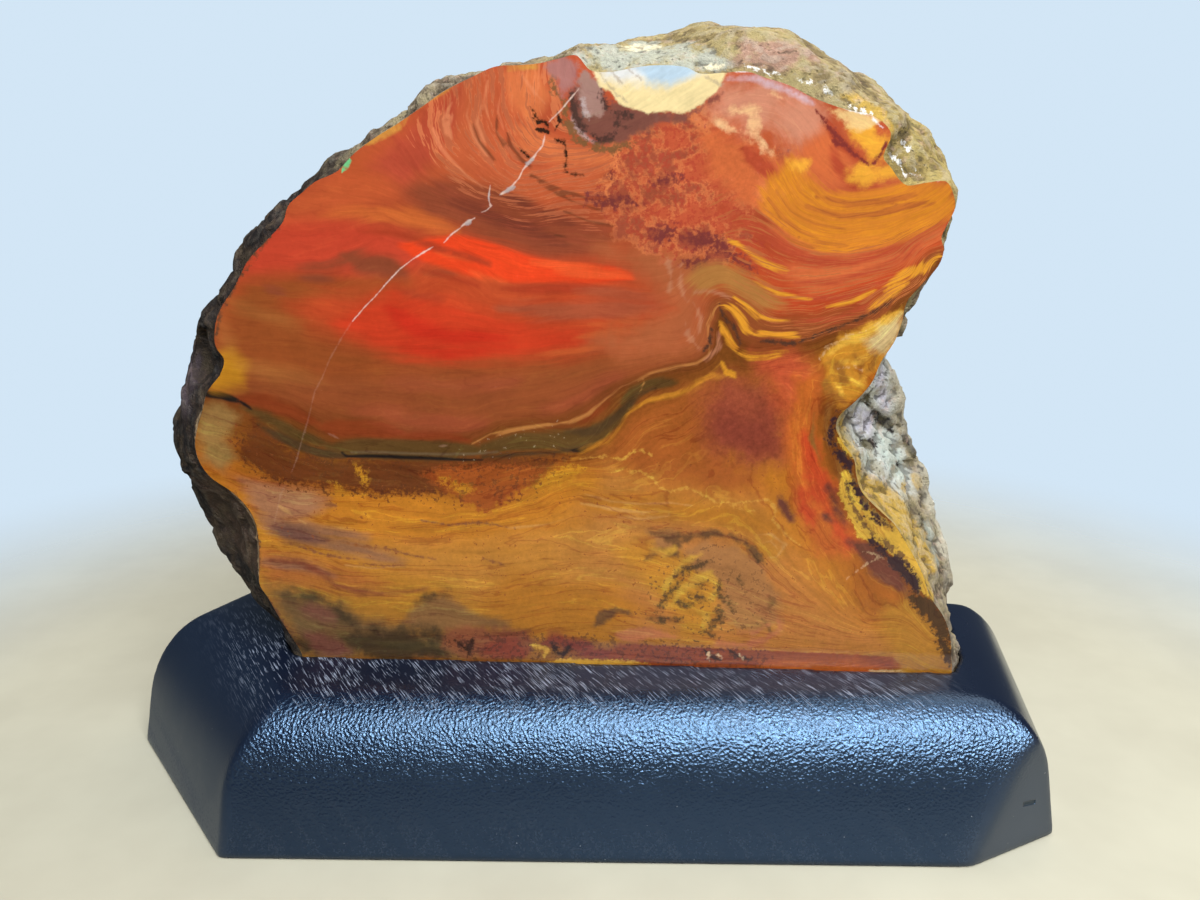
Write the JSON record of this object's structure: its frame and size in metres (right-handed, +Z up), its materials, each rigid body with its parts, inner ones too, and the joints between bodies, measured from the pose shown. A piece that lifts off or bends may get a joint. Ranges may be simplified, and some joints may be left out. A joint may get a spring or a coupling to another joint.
{
  "type": "rough red jasper slab on a wooden stand",
  "caption": "Thick upright slab of rough red jasper, one side sawn and polished to show its bands and the rest in natural rind, seated in a black-painted wooden stand.",
  "frame": {"origin": "centre of the bounding box's bottom face, on the surface that the stand rests on", "axes": "+X to the right along the stand's front edge as seen from the polished side, +Y backwards away from the polished face, +Z up"},
  "size_m": [0.28, 0.096, 0.2106],
  "materials": {
    "jasper": "polished on the face, rough natural rind elsewhere",
    "painted_wood": "satin blue-black paint over stippled and sanded wood"
  },
  "bodies": {
    "root": {"jasper_slab": "jasper", "wooden_stand": "painted_wood"}
  },
  "joints": []
}
